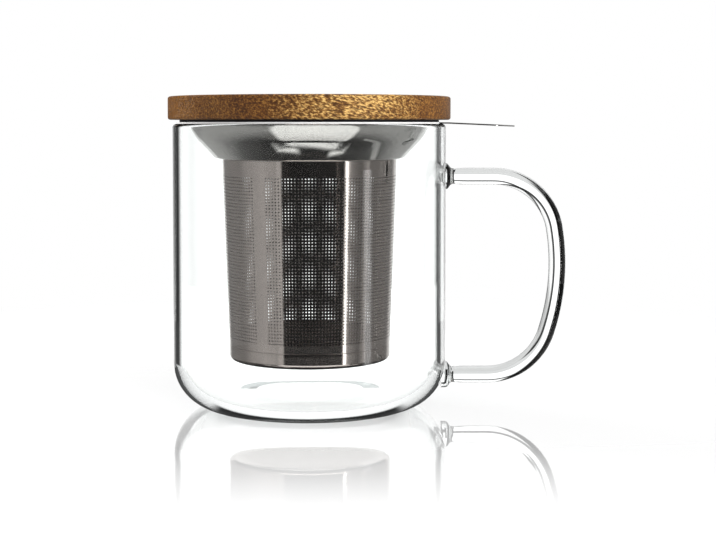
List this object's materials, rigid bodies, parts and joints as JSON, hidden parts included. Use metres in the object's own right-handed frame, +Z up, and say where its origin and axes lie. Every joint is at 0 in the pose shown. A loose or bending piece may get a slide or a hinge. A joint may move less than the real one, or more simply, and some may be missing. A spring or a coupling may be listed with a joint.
{
  "type": "lidded tea mug with infuser",
  "caption": "Clear glass tea mug with a bent glass handle, a perforated steel strainer basket hung on its rim by a flange, and a loose round wooden lid with a seal.",
  "frame": {"origin": "on the mug's own axis, at the level of the ring it stands on", "axes": "+Z up the mug's axis, +X through the handle and the thumb tab, -Y is the front"},
  "size_m": [0.1314, 0.093, 0.1023],
  "materials": {
    "glass": "clear, fire polished",
    "handle_glass": "clear, fire polished",
    "collar_steel": "polished stainless steel, pressed",
    "sleeve_steel": "polished stainless steel, perforated",
    "base_steel": "polished stainless steel, drawn",
    "lid_wood": "oiled hardwood",
    "gasket_rubber": "soft silicone",
    "seal_rubber": "soft silicone"
  },
  "bodies": {
    "mug": {"mug_body": "glass", "handle": "handle_glass"},
    "infuser": {"infuser_collar": "collar_steel", "basket_sleeve": "sleeve_steel", "basket_base": "base_steel"},
    "lid": {"lid_board": "lid_wood", "lid_gasket": "gasket_rubber", "lid_seal": "seal_rubber"}
  },
  "joints": [
    {"name": "infuser_lift", "type": "slide", "parent": "mug", "child": "infuser", "axis": [0, 0, 1], "range_m": [0, 0.085]},
    {"name": "lid_lift", "type": "slide", "parent": "infuser", "child": "lid", "axis": [0, 0, 1], "range_m": [0, 0.03]}
  ]
}
